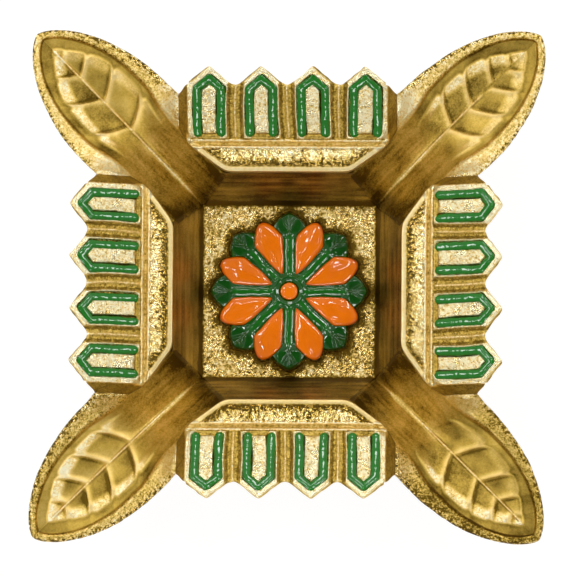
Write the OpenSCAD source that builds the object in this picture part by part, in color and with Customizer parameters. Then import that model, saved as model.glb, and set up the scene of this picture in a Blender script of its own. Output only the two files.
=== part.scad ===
// Square brass oil lamp for aarti: a tapered well, a leaf shaped wick spout at each corner, a crest of
// four lancet arches along each side, and a rosette and arches of green and orange enamel.
// Millimetres, +Z up. The origin is the middle of the flat base, and the crests face +Y, +X, -Y and -X.

/* [Well] */
// Half width of the flat floor inside the well
floor_half = 15.5; // [14.5:0.1:16]
// Thickness of the floor
floor_t = 3; // [2.6:0.1:3.4]
// Half width of the base outside
base_half = 17.2; // [16.6:0.1:17.6]
// Outward lean of the walls, sideways over upwards
wall_lean = 0.47; // [0.44:0.01:0.5]
// Height of the ledge that carries the crests
ledge_z = 13.5; // [13:0.1:14]

/* [Leaf spouts] */
// Distance from the middle of the lamp to a leaf tip
leaf_reach = 63.7; // [62:0.1:65]
// Half width of a leaf at its widest
leaf_half = 10.35; // [9.8:0.05:10.8]
// Half width of the trough between two crests
trough_half = 6; // [5.6:0.1:6.4]
// Height that the trough climbs from the floor to the leaf tip
trough_rise = 11.8; // [11:0.1:12.4]
// Distance over which the trough climbs most of that height
trough_run = 12; // [10:0.5:14]
// Thickness of the leaf casting
leaf_t = 1.9; // [1.6:0.1:2.4]
// Height of the raised midrib
midrib_h = 0.5; // [0.3:0.05:0.8]
// Depth of the step inside the rim
rim_step = 0.55; // [0.3:0.05:0.8]
// Height of the leaf blade's lobes
lobe_h = 0.45; // [0.2:0.05:0.7]

/* [Crests] */
// Distance from the middle of the lamp to the crest's inner edge
shoulder_y = 20.3; // [20:0.1:20.6]
// Height of the rolled shoulder
shoulder_z = 17.6; // [17.4:0.1:17.9]
// Radius of the rolled nose of the shoulder
nose_r = 1.95; // [1.8:0.05:2]
// Distance from the middle of the lamp to the foot of the arches
foot_y = 26; // [25.8:0.1:26.2]
// Slope of the fluted panel, in degrees above level
panel_tilt = 27.3; // [25:0.1:29]
// Length of the panel from its foot to the arch tips
panel_len = 14.2; // [13.6:0.1:14.6]
// Length of the panel from its foot to the valleys between the arches
valley_len = 10.6; // [10.2:0.1:11]
// Width of the flat valley between two arches
valley_w = 1.5; // [1.2:0.1:1.8]
// Thickness of the panel
panel_t = 2.8; // [2.6:0.1:3]
// Half length of a crest along its top edge
crest_half = 17.95; // [17.7:0.05:18.2]
// Half length of a crest where it meets the leaves
crest_end = 19.5; // [19.3:0.1:19.7]
// Distance between neighbouring arches
arch_pitch = 9.3; // [9.2:0.05:9.4]
// Width of one raised arch
arch_w = 6.8; // [6.6:0.1:7.2]
// Height of a raised arch over the panel
arch_h = 0.45; // [0.3:0.05:0.6]
// Height of the ridged tongue inside an arch
tongue_h = 0.3; // [0.1:0.05:0.4]

/* [Enamel] */
// Width of the green line in the arches
inlay_stroke = 1.7; // [1.5:0.1:1.8]
// Outer width of the green arch
inlay_w = 5.9; // [5.6:0.1:6.2]
// Distance from the panel's foot to the point of the green arch
inlay_len = 12.9; // [12.6:0.1:13.1]
// Depth of the groove that holds the enamel
inlay_t = 0.55; // [0.4:0.05:0.7]
// Distance from the middle of the rosette to its green leaf tips
rosette_r = 14.3; // [14:0.1:14.6]
// Thickness of the green ground of the rosette
rosette_t = 0.9; // [0.7:0.1:1.2]
// Distance from the middle of the rosette to the petals' inner ends
petal_in = 3.2; // [3:0.1:3.6]
// Distance from the middle of the rosette to the petals' outer ends
petal_out = 13.3; // [13:0.1:13.4]
// Half width of a petal at its widest
petal_half = 2.75; // [2.6:0.05:2.9]
// Height of a petal over the green ground
petal_h = 0.55; // [0.3:0.05:0.8]
// Radius of the orange centre dot
dot_r = 1.6; // [1.4:0.1:1.8]

/* [Hidden] */
SIDES = ["north", "east", "south", "west"];

BRASS = "goldenrod";
GREEN = "darkgreen";
ORANGE = "darkorange";

eps = 0.01;
diagonal = sqrt(2);
seat_gap = 0.03;                        // room round each piece of enamel in its groove
overlap = 0.1;                          // how far one feature of a casting sinks into another
edge_step = 0.25;                       // panel's edge left bare round the raised arches
pad_t = 0.5;                            // raised brass pad under the rosette
petal_seat = 0.5;                       // depth of the petals' recesses in the green ground
panel_lift = 0.3;                       // height of the panel's foot over the shoulder
ridge_r = 0.42;                         // radius of the two ridge lines at the panel's foot
ridge_sink = 0.18;                      // how far their middles lie below the panel's foot
RIDGES = [1.4, 0.2];                    // their distances inward from the panel's foot
line_w = 0.34;                          // width of the thin ridge between two arches
line_h = 0.3;                           // its height
end_drop = 1.8;                         // fall of the bevelled band at each end of a crest
end_corner = 1.2;                       // corner cut off between that band and the crest's outer edge
tongue_half = 1.1;                      // half width of the tongue inside an arch
TONGUE = [1.8, 6, 10.4];                // its foot, middle and point, up from the panel's foot
tip_half = 2.7;                         // half width of a green leaf tip of the rosette
petal_peak = 0.66;                      // share of a petal's length at which it is widest
lip_rise = 1.35;                        // rise of a leaf's flared edge over the crest's underside

// Places along a leaf, measured from the middle of the lamp out along the diagonal
root_s = floor_half * diagonal;         // floor corner, where the leaf starts
end_s = crest_end * diagonal;           // point where the planes of the two crest ends cross
flank_s = end_s + trough_half;          // foot of the flank beside the crest
full_s = 41;                            // leaf at its full width
groove_s = 44;                          // groove inside the rim at its full width
groove_swell = 1.45;                    // how much wider it is there than the trough, on each side
groove_w = 1.6;                         // width of the groove between blade and rim
groove_tip_s = leaf_reach - 1.4;
blade_tip_s = leaf_reach - 3.6;
wide_s = min([for (s = [flank_s:0.01:full_s]) if (s - end_s >= leaf_half) s]);

function clamp(x) = min(1, max(0, x));
function ease(a, b, x) = let (t = clamp((x - a) / (b - a))) t * t * (3 - 2 * t);
function tip_taper(s, from, to) = pow(1 - pow(clamp((s - from) / (to - from)), 2.1), 0.68);

// Underside of the crests, which the leaves' edges follow
under_lean = tan(panel_tilt);
under_y = foot_y - (shoulder_z + panel_lift - ledge_z - panel_t / cos(panel_tilt)) / under_lean;
function under_z(y) = ledge_z + max(0, y - under_y) * under_lean;

// Half widths of a leaf at distance s: its outer edge, the inner edge of its rim and its blade
function leaf_edge(s) = leaf_half * tip_taper(s, full_s, leaf_reach);
function half_width(s) = s <= flank_s ? trough_half : min(s - end_s, leaf_edge(s));
function rim_edge(s) = (trough_half + groove_swell * ease(36, groove_s, s)) * tip_taper(s, 46, groove_tip_s);
function blade_edge(s) = max(0.62 * rim_edge(s), rim_edge(s) - groove_w) * tip_taper(s, 51, blade_tip_s);

// Heights along a leaf: its midline, its rim's inner edge and its outer edge
function mid_z(s) = floor_t + trough_rise * (1 - exp(-(s - root_s) / trough_run));
function rim_in_z(s) = min(under_z((s + trough_half) / diagonal), 16.4 - 0.055 * (s - 38));
function rim_out_z(s) =
    s <= flank_s ? rim_in_z(s)
    : s <= wide_s ? under_z(s * diagonal - crest_end) + lip_rise * ease(flank_s, 36, s)
    : let (top = under_z(wide_s * diagonal - crest_end) + lip_rise, low = 16.7 - 0.065 * (s - 38))
      low + (top - low) * exp(-(s - wide_s) / 3);

// The leaf as a bare trough, without its relief
function trough_z(s, w) =
    let (t = clamp(w / max(eps, rim_edge(s))),
         sink = rim_step * ease(35, 41, s),
         bow = 1 + 0.35 * ease(24, 40, s))
    mid_z(s) + (rim_in_z(s) - sink - mid_z(s)) * pow(t, bow);
function wall_z(s, w, half) = ((s + w) / diagonal - half) / wall_lean;

// Lobes of the blade, which side veins part
VEINS = [34.5, 40.5, 46.5, 52, 56.5, 62];
vein_lean = 0.5;
function lobe(s, w) =
    let (p = s - vein_lean * w,
         k = [for (i = [0:len(VEINS) - 2]) if (p >= VEINS[i] && p < VEINS[i + 1]) i],
         t = len(k) ? (p - VEINS[k[0]]) / (VEINS[k[0] + 1] - VEINS[k[0]]) : 0)
    pow(max(0, sin(180 * t)), 0.6);
function relief(s, w) =
    let (on = ease(35, 40, s), edge = blade_edge(s))
    (w < 0.01 ? midrib_h * ease(24, 30, s) * (1 - ease(blade_tip_s - 1, blade_tip_s, s)) : 0)
    + (w > 0.3 && w <= edge ? on * lobe_h * lobe(s, w) : 0)
    - (w > edge ? on * 0.25 * clamp((w - edge) / 0.4) : 0);
function leaf_face(s, w) =
    w > rim_edge(s) + eps
        ? let (t = (w - rim_edge(s)) / max(eps, half_width(s) - rim_edge(s)))
          rim_in_z(s) + (rim_out_z(s) - rim_in_z(s)) * t
    : w >= rim_edge(s) - eps ? rim_in_z(s)
    : trough_z(s, w) + relief(s, w);
function leaf_top(s, w) = min(leaf_face(s, w), floor_t + max(0, wall_z(s, w, floor_half)));
function leaf_under(s, w) =
    let (slope = (rim_in_z(s) - mid_z(s)) / rim_edge(min(s, groove_tip_s - 2)),
         keel = min(trough_z(s, w), rim_out_z(s)) - leaf_t * sqrt(1 + slope * slope))
    max(0, min(keel + (w > rim_edge(s) ? leaf_top(s, w) - rim_in_z(s) : 0), wall_z(s, w, base_half)));

// Stations across a leaf's half width, from the midrib out to the edge
function across(s) =
    let (b = half_width(s),
         r = max(0, min(rim_edge(s), b - 0.05)),
         e = min(blade_edge(s), 0.97 * r),
         g = r - e)
    [0, 0.12 * e, 0.4 * e, 0.75 * e, e, e + 0.3 * g, e + 0.75 * g, e + 0.95 * g, r, (r + b) / 2, b];
lobe_step = 1.12;                       // distance between stations along the blade
STATIONS = concat(
    [for (d = [0, 0.4, 0.7, 1.05, 1.7]) root_s + d],
    [base_half * diagonal],
    [for (s = [25.2:1.4:flank_s - 1]) s],
    [flank_s, flank_s + 1.2, flank_s + 2.6, wide_s],
    [for (s = [wide_s + lobe_step:lobe_step:leaf_reach - 2.6]) s],
    [for (d = [2, 1.2, 0.6, 0.25]) leaf_reach - d]
);

// One leaf along +X of its own frame, lofted over the stations: tops and undersides, edge to edge
module leaf_body() {
    n = len(across(root_s));
    tops = 2 * n - 1;
    unders = n;
    ring = tops + unders;
    function side(i) = i - (n - 1);
    points = [
        for (s = STATIONS)
            let (ws = across(s))
            each concat(
                [for (i = [0:tops - 1]) let (k = side(i), w = ws[abs(k)]) [s, sign(k) * w, leaf_top(s, w)]],
                [for (j = [0:unders - 1])
                    let (k = side(2 * j), w = ws[abs(k)]) [s, sign(k) * w, leaf_under(s, w)]]
            )
    ];
    rows = len(STATIONS);
    function at(r, i) = r * ring + i;
    function low(r, j) = r * ring + tops + j;
    faces = concat(
        [for (r = [0:rows - 2]) for (i = [0:tops - 2]) each [
            [at(r, i), at(r, i + 1), at(r + 1, i + 1)], [at(r, i), at(r + 1, i + 1), at(r + 1, i)]]],
        [for (r = [0:rows - 2]) for (j = [0:unders - 2]) each [
            [low(r, j), low(r + 1, j + 1), low(r, j + 1)], [low(r, j), low(r + 1, j), low(r + 1, j + 1)]]],
        [for (r = [0:rows - 2]) each [
            [at(r, 0), at(r + 1, 0), low(r + 1, 0)], [at(r, 0), low(r + 1, 0), low(r, 0)]]],
        [for (r = [0:rows - 2]) each [
            [at(r, tops - 1), low(r + 1, unders - 1), at(r + 1, tops - 1)],
            [at(r, tops - 1), low(r, unders - 1), low(r + 1, unders - 1)]]],
        [for (j = [0:unders - 2])
            [low(0, j), low(0, j + 1), at(0, 2 * j + 2), at(0, 2 * j + 1), at(0, 2 * j)]],
        [for (j = [0:unders - 2])
            [low(rows - 1, j + 1), low(rows - 1, j), at(rows - 1, 2 * j), at(rows - 1, 2 * j + 1),
             at(rows - 1, 2 * j + 2)]]
    );
    polyhedron(points, faces);
}

module leaf_spout(angle) {
    color(BRASS) rotate(angle) leaf_body();
}

// A prism along X or Y whose ends show the outline given as (across, up)
module along_x(length) {
    rotate([90, 0, 90]) translate([0, 0, -length / 2]) linear_extrude(length) children();
}

module along_y(length) {
    rotate([90, 0, 180]) translate([0, 0, -length / 2]) linear_extrude(length) children();
}

// A square bowl shape: sides lean outward from half width low at z0 up to z1
module frustum(low, z0, z1) {
    high = low + (z1 - z0) * wall_lean;
    outline = [[-low, z0], [low, z0], [high, z1], [-high, z1]];
    intersection() {
        along_x(4 * high) polygon(outline);
        along_y(4 * high) polygon(outline);
    }
}

// Green leaf tip of the rosette, along +X: from the petals out to a blunt point
module tip_outline() {
    polygon([
        [rosette_r - 5.7, 0], [rosette_r - 3.6, -0.78 * tip_half], [rosette_r - 2, -tip_half],
        [rosette_r - 1.2, -0.7 * tip_half], [rosette_r - 0.5, -0.36 * tip_half], [rosette_r, 0],
        [rosette_r - 0.5, 0.36 * tip_half], [rosette_r - 1.2, 0.7 * tip_half],
        [rosette_r - 2, tip_half], [rosette_r - 3.6, 0.78 * tip_half]
    ]);
}

module rosette_outline() {
    circle(petal_out - 1.1, $fn = 64);
    for (i = [0:7]) {
        rotate(45 * i) tip_outline();
        rotate(45 * i + 22.5) translate([petal_out - 1.4, 0]) circle(1.5, $fn = 32);
    }
}

module well_cup() {
    color(BRASS) {
        difference() {
            frustum(base_half, 0, ledge_z);
            translate([0, 0, floor_t]) frustum(floor_half, 0, ledge_z);
            for (i = [0:3])
                rotate(45 + 90 * i)
                    translate([root_s, -trough_half, -1]) cube([30, 2 * trough_half, ledge_z + 2]);
        }
        translate([0, 0, floor_t - eps]) linear_extrude(pad_t + eps) rosette_outline();
    }
}

// Outline of a petal along +X, grown by g for its recess and drawn in by k for its domed top
petal_steps = 10;
function petal_w(t, g) =
    (petal_half + g) * min(pow(t / petal_peak, 0.76), pow((1 - t) / (1 - petal_peak), 0.5));
function petal_ring(g, k, z) =
    let (n = petal_steps, a = petal_in - g, b = petal_out + g, mid = (a + b) / 2 + 0.6)
    [for (i = [0:2 * n - 1])
        let (t = (1 - cos(180 * i / n)) / 2,
             x = a + (b - a) * t,
             y = (i <= n ? -1 : 1) * (t > 0 && t < 1 ? petal_w(t, g) : 0))
        concat([mid + (x - mid) * k, y * k], z)];

module petal_body() {
    n = petal_steps;
    m = 2 * n;
    rings = [
        petal_ring(0, 1, [0]),
        petal_ring(0, 1, [petal_seat]),
        petal_ring(0, 0.82, [petal_seat + 0.72 * petal_h]),
        petal_ring(0, 0.45, [petal_seat + petal_h])
    ];
    top = m * (len(rings) - 1);
    function far(i) = (m - i) % m;
    faces = concat(
        [for (i = [0:n - 2]) each [
            [i, i + 1, far(i + 1)], [i + 1, far(i + 2), far(i + 1)],
            [top + i, top + far(i + 1), top + i + 1], [top + i + 1, top + far(i + 1), top + far(i + 2)]]],
        [for (r = [0:len(rings) - 2]) for (i = [0:m - 1]) let (j = (i + 1) % m) each [
            [r * m + i, (r + 1) * m + j, r * m + j], [r * m + i, (r + 1) * m + i, (r + 1) * m + j]]]
    );
    polyhedron([for (ring = rings) each ring], faces);
}

rosette_z = floor_t + pad_t;
petal_z = rosette_z + rosette_t - petal_seat;

module rosette_green() {
    color(GREEN) translate([0, 0, rosette_z]) {
        difference() {
            linear_extrude(rosette_t) rosette_outline();
            for (i = [0:7])
                rotate(45 * i + 22.5)
                    translate([0, 0, rosette_t - petal_seat])
                        linear_extrude(petal_seat + 1) polygon(petal_ring(seat_gap, 1, []));
            translate([0, 0, rosette_t - petal_seat])
                cylinder(petal_seat + 1, r = dot_r + seat_gap, $fn = 48);
        }
        for (i = [0:7])
            rotate(45 * i)
                translate([11.6, 0, rosette_t - eps])
                    linear_extrude(0.4, scale = [0.5, 0.2])
                        polygon([[-2, 0], [0, -1.8], [1.9, 0], [0, 1.8]]);
    }
}

module orange_petal(i) {
    color(ORANGE) rotate(45 * (i - 1) + 22.5) translate([0, 0, petal_z]) petal_body();
}

module centre_dot() {
    color(ORANGE) translate([0, 0, petal_z]) intersection() {
        cylinder(petal_seat + petal_h, r = dot_r, $fn = 48);
        translate([0, 0, petal_seat + petal_h - 2.6]) sphere(2.6, $fn = 48);
    }
}

// A pointed arch from y = foot to its point at y = tip, reaching left and right of its middle
gable_reach = (arch_pitch - valley_w) / 2;                  // from an arch's point across to the valley
gable_fall = (panel_len - valley_len) / gable_reach;        // fall of an arch's edge for each mm across
gable_slant = sqrt(1 + gable_fall * gable_fall);            // length of that edge for each mm across
module gable(left, right, foot, tip) {
    polygon([
        [-left, foot], [right, foot], [right, tip - gable_fall * right], [0, tip],
        [-left, tip - gable_fall * left]
    ]);
}

// The green line: a pointed arch with a round foot on each leg, grown by g for its groove
module inlay_outline(g) {
    foot = inlay_stroke / 2 + 0.5;
    leg_x = (inlay_w - inlay_stroke) / 2;
    outer = inlay_w / 2 + g;
    inner = inlay_w / 2 - inlay_stroke - g;
    difference() {
        gable(outer, outer, foot, inlay_len + g * gable_slant);
        gable(inner, inner, foot - 1, inlay_len - (inlay_stroke + g) * gable_slant);
    }
    for (x = [-leg_x, leg_x]) translate([x, foot]) circle(inlay_stroke / 2 + g, $fn = 24);
}

module on_panel() {
    translate([0, foot_y, shoulder_z + panel_lift]) rotate([panel_tilt, 0, 0]) children();
}

function arch_x(i) = (i - 2.5) * arch_pitch;

module crest_inlay(i) {
    on_panel() translate([arch_x(i), 0, arch_h - inlay_t]) linear_extrude(inlay_t - 0.05) inlay_outline(0);
}

module arch_relief(i) {
    end_half = crest_half - arch_x(4);
    difference() {
        gable(i == 1 ? end_half : arch_w / 2, i == 4 ? end_half : arch_w / 2, 0.2, panel_len - edge_step);
        inlay_outline(seat_gap);
    }
}

module panel() {
    on_panel() {
        difference() {
            intersection() {
                translate([-crest_end, -2, -panel_t]) cube([2 * crest_end, panel_len + 4, panel_t]);
                along_y(60)
                    polygon([
                        [-crest_end, -panel_t], [crest_end, -panel_t], [crest_end, -end_drop],
                        [crest_half, 0], [-crest_half, 0], [-crest_end, -end_drop]
                    ]);
            }
            for (i = [1:4])
                translate([arch_x(i), 0, arch_h - inlay_t]) linear_extrude(1) inlay_outline(seat_gap);
        }
        intersection() {
            union() {
                for (i = [1:4]) {
                    translate([arch_x(i), 0, -overlap]) linear_extrude(arch_h + overlap) arch_relief(i);
                    translate([arch_x(i), TONGUE[1], arch_h - overlap])
                        linear_extrude(tongue_h + overlap, scale = [0.5, 0.85])
                            gable(tongue_half, tongue_half, TONGUE[0] - TONGUE[1], TONGUE[2] - TONGUE[1]);
                }
                for (i = [1:3])
                    translate([arch_x(i) + (arch_pitch - line_w) / 2, 0.3, -overlap])
                        cube([line_w, valley_len - 0.8, line_h + overlap]);
            }
            translate([-crest_half, -2, -1]) cube([2 * crest_half, 20, 4]);
        }
    }
}

// A long bar with a rolled nose, which looks along the given direction and reaches that far
wall_y = floor_half + (ledge_z - floor_t) * wall_lean;      // inner face of the wall at the ledge
nose_out = wall_y - shoulder_y;                             // how far the nose overhangs that face
module rolled_bar(angle, reach) {
    length = 100;
    back = 80;
    rotate([90, 0, angle]) translate([0, 0, -length / 2]) linear_extrude(length) {
        translate([reach - back, ledge_z]) square([back - nose_r, shoulder_z - ledge_z]);
        translate([reach - back, ledge_z]) square([back - nose_out, shoulder_z - nose_r - ledge_z]);
        translate([reach - nose_r, shoulder_z - nose_r]) circle(nose_r, $fn = 64);
    }
}

module shoulder() {
    intersection() {
        rolled_bar(-90, -shoulder_y);
        rolled_bar(-45, nose_out - trough_half);
        rolled_bar(-135, nose_out - trough_half);
        translate([-foot_y, 0, 0]) cube([2 * foot_y, foot_y, 40]);
    }
}

// Plan of the crest: its inner corners are cut along the troughs, and its outer edge has the four gables
module crest_plan(inner, half) {
    cut = trough_half * diagonal;
    valley = foot_y + valley_len * cos(panel_tilt);
    tip = foot_y + panel_len * cos(panel_tilt);
    polygon(concat(
        [[-half + end_corner, valley], [-half, valley - end_corner]],
        [[-half, half + cut], [-(inner - cut), inner], [inner - cut, inner], [half, half + cut]],
        [[half, valley - end_corner], [half - end_corner, valley]],
        [for (i = [4:-1:1]) each [
            [arch_x(i) + gable_reach, valley], [arch_x(i), tip], [arch_x(i) - gable_reach, valley]]]
    ));
}

module crest() {
    color(BRASS) difference() {
        union() {
            shoulder();
            intersection() {
                union() {
                    panel();
                    for (inward = RIDGES)
                        translate([0, foot_y - inward, shoulder_z + panel_lift - ridge_sink])
                            along_x(2 * crest_half - 0.2) circle(ridge_r, $fn = 24);
                }
                linear_extrude(60) crest_plan(wall_y, crest_end);
            }
        }
        // underside, in line with the panel
        on_panel() translate([-40, -30, -panel_t - 30]) cube([80, 80, 30]);
    }
}

module crest_at(angle) {
    rotate(angle) crest();
}

well_cup();
leaf_spout(45);  // leaf_spout_ne
leaf_spout(-45);  // leaf_spout_se
leaf_spout(-135);  // leaf_spout_sw
leaf_spout(135);  // leaf_spout_nw
for (k = [0:3]) crest_at(-90 * k);
rosette_green();
for (i = [1:8]) orange_petal(i);
centre_dot();
for (k = [0:3]) for (i = [1:4])
    color(GREEN) rotate(-90 * k) crest_inlay(i);
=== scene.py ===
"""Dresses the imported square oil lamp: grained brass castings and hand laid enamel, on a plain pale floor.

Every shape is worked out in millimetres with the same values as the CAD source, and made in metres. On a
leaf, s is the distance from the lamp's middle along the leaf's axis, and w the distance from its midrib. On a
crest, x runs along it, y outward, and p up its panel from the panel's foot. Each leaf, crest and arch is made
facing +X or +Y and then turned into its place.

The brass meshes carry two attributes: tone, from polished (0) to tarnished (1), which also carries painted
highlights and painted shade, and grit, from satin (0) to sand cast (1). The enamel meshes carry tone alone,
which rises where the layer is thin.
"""

import itertools
import math

import bpy
import numpy as np
from mathutils import Matrix, Vector


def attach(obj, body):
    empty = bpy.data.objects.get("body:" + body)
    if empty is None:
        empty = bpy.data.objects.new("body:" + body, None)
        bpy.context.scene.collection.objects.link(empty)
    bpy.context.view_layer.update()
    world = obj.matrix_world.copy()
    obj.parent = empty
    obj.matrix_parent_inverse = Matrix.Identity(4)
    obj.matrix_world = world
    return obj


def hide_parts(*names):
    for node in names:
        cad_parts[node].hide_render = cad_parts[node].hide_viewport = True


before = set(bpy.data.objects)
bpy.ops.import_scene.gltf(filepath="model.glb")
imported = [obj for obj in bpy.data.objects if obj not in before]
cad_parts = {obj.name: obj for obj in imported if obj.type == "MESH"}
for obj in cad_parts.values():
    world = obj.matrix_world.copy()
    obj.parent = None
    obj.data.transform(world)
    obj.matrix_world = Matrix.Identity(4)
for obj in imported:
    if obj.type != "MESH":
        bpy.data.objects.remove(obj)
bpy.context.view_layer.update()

MM = 0.001
DIAGONAL = math.sqrt(2)
SIDES = ("north", "east", "south", "west")
CORNERS = ("ne", "se", "sw", "nw")

# Well
FLOOR_HALF, FLOOR_T, BASE_HALF = 15.5, 3.0, 17.2
WALL_LEAN, LEDGE_Z = 0.47, 13.5
WALL_Y = FLOOR_HALF + (LEDGE_Z - FLOOR_T) * WALL_LEAN

# Leaf spouts
REACH, LEAF_HALF, TROUGH_HALF = 63.7, 10.35, 6.0
TROUGH_RISE, TROUGH_RUN, LEAF_T = 11.8, 12.0, 1.9
MIDRIB_H, RIM_STEP, LIP_RISE = 0.5, 0.55, 1.35
GROOVE_SWELL, GROOVE_W = 1.45, 1.6

# Crests
SHOULDER_Y, SHOULDER_Z, NOSE_R, FOOT_Y = 20.3, 17.6, 1.95, 26.0
TILT = math.radians(27.3)
PANEL_LEN, VALLEY_LEN, VALLEY_W, PANEL_T = 14.2, 10.6, 1.5, 2.8
PANEL_LIFT, END_DROP, END_CORNER = 0.3, 1.8, 1.5
CREST_HALF, CREST_END = 17.95, 19.5
ARCH_PITCH, ARCH_W, ARCH_H = 9.3, 6.8, 0.45
INLAY_STROKE, INLAY_W, INLAY_LEN, INLAY_T = 1.7, 5.9, 12.9, 0.55
FOOT_Z = SHOULDER_Z + PANEL_LIFT
ARCH_X = [(i - 1.5) * ARCH_PITCH for i in range(4)]

# Rosette
ROSETTE_R, ROSETTE_T, PAD_T = 14.3, 0.9, 0.5
PETAL_IN, PETAL_OUT, PETAL_HALF, PETAL_PEAK = 3.2, 13.3, 2.75, 0.66
PETAL_H, PETAL_SEAT = 0.55, 0.5
DOT_R = 1.6
ROSETTE_Z = FLOOR_T + PAD_T
PETAL_Z = ROSETTE_Z + ROSETTE_T - PETAL_SEAT
ENAMEL_LOW = PETAL_Z + 0.08

# Places along a leaf: its root, its leaving of the crests, its full width and the tips inside its own
ROOT_S = FLOOR_HALF * DIAGONAL
END_S = CREST_END * DIAGONAL
FLANK_S = END_S + TROUGH_HALF
FULL_S, GROOVE_S = 41.0, 44.0
GROOVE_TIP, BLADE_TIP = REACH - 1.4, REACH - 3.6

# Crest's underside, which the leaves' edges follow
LEAN = math.tan(TILT)
UNDER_Y = FOOT_Y - (FOOT_Z - LEDGE_Z - PANEL_T / math.cos(TILT)) / LEAN

# Gables
GABLE_REACH = (ARCH_PITCH - VALLEY_W) / 2
GABLE_FALL = (PANEL_LEN - VALLEY_LEN) / GABLE_REACH
GABLE_SLANT = math.hypot(1, GABLE_FALL)


# ---------------------------------------------------------------- small functions
def ease(a, b, x):
    """Smooth step from 0 at a to 1 at b."""
    t = np.clip((x - a) / (b - a), 0, 1)
    return t * t * (3 - 2 * t)


def fade(a, b, x):
    """Smooth step from 1 at a to 0 at b."""
    return 1 - ease(a, b, x)


def bell(x, middle, width):
    return np.exp(-(((x - middle) / width) ** 2))


def smooth_max(a, b, k):
    return (a + b + np.sqrt((a - b) ** 2 + k * k)) / 2


def smooth_min(a, b, k):
    return -smooth_max(-a, -b, k)


def spot(*axes):
    """Points from their coordinates, any of which may be one number for all."""
    return np.stack(np.broadcast_arrays(*axes), -1)


def turned(points, degrees):
    a = math.radians(degrees)
    c, s = math.cos(a), math.sin(a)
    x, y = points[..., 0], points[..., 1]
    return np.stack([x * c - y * s, x * s + y * c, points[..., 2]], -1)


def smoothed(values, times):
    """A line of values, drawn toward their neighbours so many times, with both ends kept."""
    values = np.array(values, float)
    for _ in range(times):
        values[1:-1] = (values[:-2] + 2 * values[1:-1] + values[2:]) / 4
    return values


def normals(grid):
    """Unit normals of a grid of points, from its neighbours."""
    n = np.cross(np.gradient(grid, axis=0), np.gradient(grid, axis=1))
    return n / np.maximum(np.linalg.norm(n, axis=-1, keepdims=True), 1e-9)


# Odd numbers that scatter a lattice point and a seed over the 31 bits of a hash
HASH_X, HASH_Y, HASH_Z, HASH_SEED = 73856093, 19349663, 83492791, 2654435761
HASH_ROUNDS = ((13, 1274126177), (15, 1103515245))
HASH_BITS = 0x7FFFFFFF
HASH_HALF = (HASH_BITS >> 8) / 2


def noise(p, cell, seed):
    """Smooth noise from -1 to 1 at points p, hashed from a lattice of the given cell, both in millimetres."""
    q = p / cell
    low = np.floor(q).astype(np.int64)
    f = q - low
    f = f * f * (3 - 2 * f)
    total = np.zeros(p.shape[:-1])
    for corner in itertools.product((0, 1), repeat=3):
        c = np.array(corner)
        weight = np.where(c == 1, f, 1 - f).prod(-1)
        at = low + c
        h = at[..., 0] * HASH_X ^ at[..., 1] * HASH_Y ^ at[..., 2] * HASH_Z ^ seed * HASH_SEED
        h &= HASH_BITS
        for shift, factor in HASH_ROUNDS:
            h = (h ^ (h >> shift)) * factor & HASH_BITS
        total += weight * ((h >> 8) / HASH_HALF - 1)
    return total


# Cast grain in two sizes: how much each counts, its cell, its shift and its seed
GRAINS = ((0.32, 0.42, 0, 1), (0.72, 0.24, 31.7, 2))
GRAIN_TURN = np.array(Matrix.Rotation(0.61, 3, Vector((1, 2, 3)).normalized()))


def grain(p):
    """Bumps of sand cast brass, about a third of a millimetre across."""
    at = p @ GRAIN_TURN
    return sum(weight * noise(at + shift, cell, seed) for weight, cell, shift, seed in GRAINS)


# ---------------------------------------------------------------- meshes
def placed(name, data):
    """A new object of the scene, from its mesh, light or camera."""
    obj = bpy.data.objects.new(name, data)
    bpy.context.scene.collection.objects.link(obj)
    return obj


def add_piece(name, points, faces, slot, nodes, flat=(), **attributes):
    """Makes a mesh piece in metres that rides on the root body and stands for its CAD nodes."""
    mesh = bpy.data.meshes.new(name)
    mesh.from_pydata((points.reshape(-1, 3) * MM).tolist(), [], faces)
    mesh.validate()
    smooth = np.ones(len(mesh.polygons), bool)
    smooth[list(flat)] = False
    mesh.polygons.foreach_set("use_smooth", smooth)
    for key, values in attributes.items():
        layer = mesh.attributes.new(key, "FLOAT", "POINT")
        layer.data.foreach_set("value", np.ascontiguousarray(values, np.float32).ravel())
    mesh.materials.append(FINISHES[slot])
    obj = placed(name, mesh)
    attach(obj, "root")
    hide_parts(*nodes)


def numbered(rows, columns):
    """The point numbers of a mesh made of rows of points."""
    return np.arange(rows * columns).reshape(rows, columns)


def quads(at, closed=True, flip=False):
    """Quads over a grid of point numbers, each row of which is a closed ring or an open line."""
    if closed:
        at = np.concatenate([at, at[:, :1]], 1)
    corners = [at[:-1, :-1], at[:-1, 1:], at[1:, 1:], at[1:, :-1]]
    if flip:
        corners[1:] = corners[:0:-1]
    return np.stack(corners, -1).reshape(-1, 4).tolist()


def tube(rings):
    """Faces of a tube of closed rings of points, with one face over each end."""
    at = numbered(*rings.shape[:2])
    return quads(at) + [at[0, ::-1].tolist(), at[-1].tolist()]


def fan(middle, here, ahead):
    """Triangles from one point to each side of an outline."""
    return np.stack([np.full_like(here, middle), here, ahead], -1).tolist()


# ---------------------------------------------------------------- materials
def node(tree, kind, inputs=None, **settings):
    made = tree.nodes.new(kind)
    for key, value in settings.items():
        setattr(made, key, value)
    for key, value in (inputs or {}).items():
        if isinstance(value, bpy.types.NodeSocket):
            tree.links.new(value, made.inputs[key])
        else:
            made.inputs[key].default_value = value
    return made


def math_node(tree, operation, a, b, clamp=False):
    return node(tree, "ShaderNodeMath", {0: a, 1: b}, operation=operation, use_clamp=clamp).outputs[0]


def swing(tree, value, amount):
    """A texture's value from 0 to 1 as a swing of the given amount about nought."""
    return math_node(tree, "MULTIPLY", math_node(tree, "SUBTRACT", value, 0.5), amount)


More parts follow.
